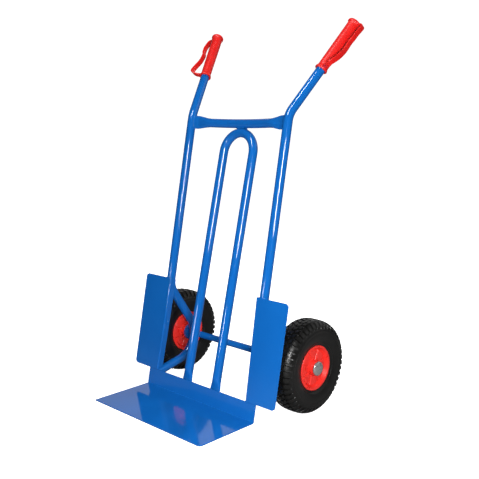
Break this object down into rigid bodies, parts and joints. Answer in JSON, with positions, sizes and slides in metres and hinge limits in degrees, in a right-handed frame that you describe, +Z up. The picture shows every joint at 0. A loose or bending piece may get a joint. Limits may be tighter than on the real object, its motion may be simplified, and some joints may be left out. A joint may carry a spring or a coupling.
{
  "type": "hand truck",
  "caption": "Two-wheeled hand truck with welded tube frame, toe plate, wheel guards, pneumatic wheels on a fixed axle and outward-splayed grips with knuckle guards.",
  "frame": {"origin": "on the floor, under the centre of the bounding box in X and Y", "axes": "+Z up; +X to the truck's right as the person behind it sees it; +Y to the rear, where the handles lean; -Y to the front, where the toe plate reaches"},
  "size_m": [0.6134, 0.5608, 1.0701],
  "materials": {
    "blue_coat": "glossy powder coat",
    "grip_red": "soft vinyl, finely pebbled",
    "rim_red": "moulded, satin",
    "tyre_black": "moulded rubber",
    "tube_black": "butyl, dull",
    "zinc": "bright zinc plate",
    "bright_steel": "ground, oiled",
    "cap_black": "moulded, matte"
  },
  "bodies": {
    "frame": {"toe_plate": "blue_coat", "cross_tube": "blue_coat", "centre_loop": "blue_coat", "axle": "blue_coat", "left_upright": "blue_coat", "left_wheel_guard": "blue_coat", "left_axle_boss": "blue_coat", "right_upright": "blue_coat", "right_wheel_guard": "blue_coat", "right_axle_boss": "blue_coat", "left_grip": "grip_red", "right_grip": "grip_red", "left_inner_washer": "zinc", "left_outer_washer": "zinc", "left_axle_cap": "zinc", "right_inner_washer": "zinc", "right_outer_washer": "zinc", "right_axle_cap": "zinc"},
    "left_wheel": {"left_tyre": "tyre_black", "left_inner_tube": "tube_black", "left_rim_outer": "rim_red", "left_rim_inner": "rim_red", "left_hub_sleeve": "bright_steel", "left_outer_bearing": "bright_steel", "left_inner_bearing": "bright_steel", "left_valve_stem": "bright_steel", "left_valve_cap": "cap_black"},
    "right_wheel": {"right_tyre": "tyre_black", "right_inner_tube": "tube_black", "right_rim_outer": "rim_red", "right_rim_inner": "rim_red", "right_hub_sleeve": "bright_steel", "right_outer_bearing": "bright_steel", "right_inner_bearing": "bright_steel", "right_valve_stem": "bright_steel", "right_valve_cap": "cap_black"}
  },
  "joints": [
    {"name": "left_wheel_spin", "type": "hinge", "parent": "frame", "child": "left_wheel", "pos_m": [-0.259, 0.08464, 0.13], "axis": [1, 0, 0], "continuous": true},
    {"name": "right_wheel_spin", "type": "hinge", "parent": "frame", "child": "right_wheel", "pos_m": [0.259, 0.08464, 0.13], "axis": [1, 0, 0], "continuous": true}
  ]
}
